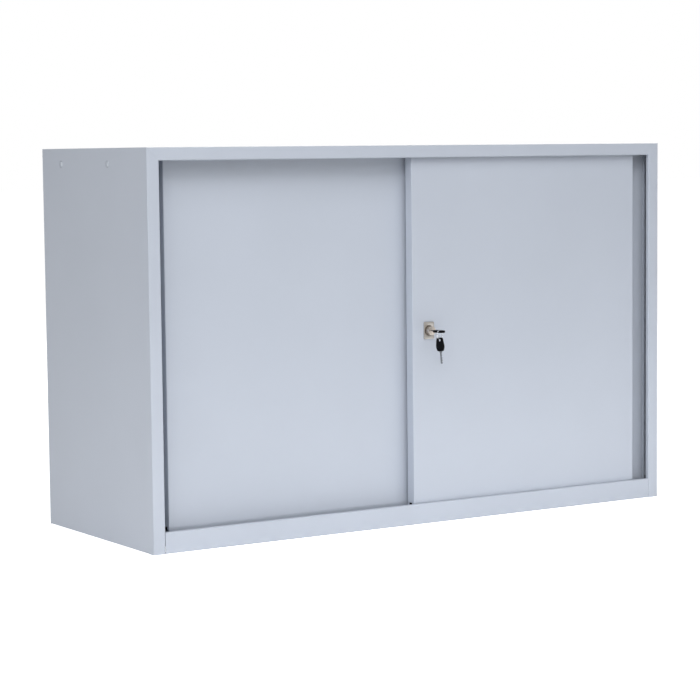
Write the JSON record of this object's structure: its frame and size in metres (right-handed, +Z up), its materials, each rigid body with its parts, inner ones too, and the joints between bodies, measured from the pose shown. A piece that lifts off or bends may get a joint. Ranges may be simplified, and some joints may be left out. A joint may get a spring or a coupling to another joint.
{
  "type": "sliding door cabinet",
  "caption": "Low steel cabinet with two overlapping sliding doors on rollers, finger recesses, an adjustable shelf, and a push lock with a key and a spare on a ring.",
  "frame": {"origin": "on the floor, under the middle of the carcass", "axes": "+X to the right as seen from the front, +Y from the front to the back, +Z up"},
  "size_m": [1.2, 0.4874, 0.745],
  "materials": {
    "powder_coat": "light grey fine-textured powder coat",
    "zinc_steel": "bright zinc plate",
    "rail_aluminium": "natural anodised",
    "black_plastic": "moulded, low sheen",
    "nylon": "natural nylon",
    "rubber": "moulded rubber",
    "nickel": "satin nickel plate",
    "key_steel": "milled key steel"
  },
  "bodies": {
    "carcass": {"left_side_panel": "powder_coat", "right_side_panel": "powder_coat", "top_panel": "powder_coat", "bottom_panel": "powder_coat", "back_panel": "powder_coat", "floor_stiffener": "powder_coat", "bottom_rail_front": "rail_aluminium", "bottom_rail_rear": "rail_aluminium", "top_track": "rail_aluminium", "shelf": "powder_coat", "upright_left_front": "powder_coat", "shelf_clip_left_front": "zinc_steel", "upright_left_rear": "powder_coat", "shelf_clip_left_rear": "zinc_steel", "upright_right_front": "powder_coat", "shelf_clip_right_front": "zinc_steel", "upright_right_rear": "powder_coat", "shelf_clip_right_rear": "zinc_steel", "side_rivet_left_front": "powder_coat", "side_rivet_left_rear": "powder_coat", "side_rivet_right_front": "powder_coat", "side_rivet_right_rear": "powder_coat", "buffer_left_front": "rubber", "buffer_left_rear": "rubber", "buffer_right_front": "rubber", "buffer_right_rear": "rubber"},
    "front_door": {"front_door_panel": "powder_coat", "front_door_stiffener": "powder_coat", "front_door_carriage_inner": "black_plastic", "front_door_axle_inner": "zinc_steel", "front_door_guide_inner": "nylon", "front_door_carriage_outer": "black_plastic", "front_door_axle_outer": "zinc_steel", "front_door_guide_outer": "nylon", "lock_body": "nickel", "lock_nut": "zinc_steel", "lock_spring": "zinc_steel"},
    "rear_door": {"rear_door_panel": "powder_coat", "rear_door_stiffener": "powder_coat", "rear_door_carriage_inner": "black_plastic", "rear_door_axle_inner": "zinc_steel", "rear_door_guide_inner": "nylon", "rear_door_carriage_outer": "black_plastic", "rear_door_axle_outer": "zinc_steel", "rear_door_guide_outer": "nylon", "lock_keeper": "zinc_steel"},
    "front_door_wheel_inner": {"front_door_wheel_inner": "nylon"},
    "front_door_wheel_outer": {"front_door_wheel_outer": "nylon"},
    "rear_door_wheel_inner": {"rear_door_wheel_inner": "nylon"},
    "rear_door_wheel_outer": {"rear_door_wheel_outer": "nylon"},
    "lock_plunger": {"lock_plunger": "nickel"},
    "lock_core": {"lock_core": "nickel"},
    "key": {"key_blade": "key_steel", "key_bow": "black_plastic"},
    "key_ring": {"key_ring": "key_steel"},
    "spare_key": {"spare_key_blade": "key_steel", "spare_key_bow": "black_plastic"}
  },
  "joints": [
    {"name": "front_door_slide", "type": "slide", "parent": "carcass", "child": "front_door", "axis": [1, 0, 0], "range_m": [-0.575, 0]},
    {"name": "rear_door_slide", "type": "slide", "parent": "carcass", "child": "rear_door", "axis": [1, 0, 0], "range_m": [0, 0.575]},
    {"name": "front_door_wheel_inner_spin", "type": "hinge", "parent": "front_door", "child": "front_door_wheel_inner", "pos_m": [0.0188, -0.1975, 0.035], "axis": [0, 1, 0], "range_deg": [-3700, 0]},
    {"name": "front_door_wheel_outer_spin", "type": "hinge", "parent": "front_door", "child": "front_door_wheel_outer", "pos_m": [0.5112, -0.1975, 0.035], "axis": [0, 1, 0], "range_deg": [-3700, 0]},
    {"name": "rear_door_wheel_inner_spin", "type": "hinge", "parent": "rear_door", "child": "rear_door_wheel_inner", "pos_m": [-0.0188, -0.1665, 0.035], "axis": [0, 1, 0], "range_deg": [0, 3700]},
    {"name": "rear_door_wheel_outer_spin", "type": "hinge", "parent": "rear_door", "child": "rear_door_wheel_outer", "pos_m": [-0.5112, -0.1665, 0.035], "axis": [0, 1, 0], "range_deg": [0, 3700]},
    {"name": "lock_plunger_push", "type": "slide", "parent": "front_door", "child": "lock_plunger", "axis": [0, 1, 0], "range_m": [0, 0.01], "stiffness_N_per_m": 300, "deforming": ["lock_spring"]},
    {"name": "lock_core_turn", "type": "hinge", "parent": "lock_plunger", "child": "lock_core", "pos_m": [0.024, -0.2, 0.3813], "axis": [0, 1, 0], "range_deg": [0, 90]},
    {"name": "key_withdraw", "type": "slide", "parent": "lock_core", "child": "key", "axis": [0, -1, 0], "range_m": [0, 0.03]},
    {"name": "key_ring_swivel", "type": "hinge", "parent": "key", "child": "key_ring", "pos_m": [0.024, -0.2531, 0.3813], "axis": [0, 0, 1], "range_deg": [-20, 150]},
    {"name": "spare_key_swing", "type": "hinge", "parent": "key_ring", "child": "spare_key", "pos_m": [0.01797, -0.25553, 0.3668], "axis": [0.9272, 0.3746, 0], "range_deg": [-30, 30]}
  ],
  "couplings": [
    {"joint": "front_door_wheel_inner_spin", "follows": "front_door_slide", "rad_per_m": 111.11},
    {"joint": "front_door_wheel_outer_spin", "follows": "front_door_slide", "rad_per_m": 111.11},
    {"joint": "rear_door_wheel_inner_spin", "follows": "rear_door_slide", "rad_per_m": 111.11},
    {"joint": "rear_door_wheel_outer_spin", "follows": "rear_door_slide", "rad_per_m": 111.11}
  ]
}
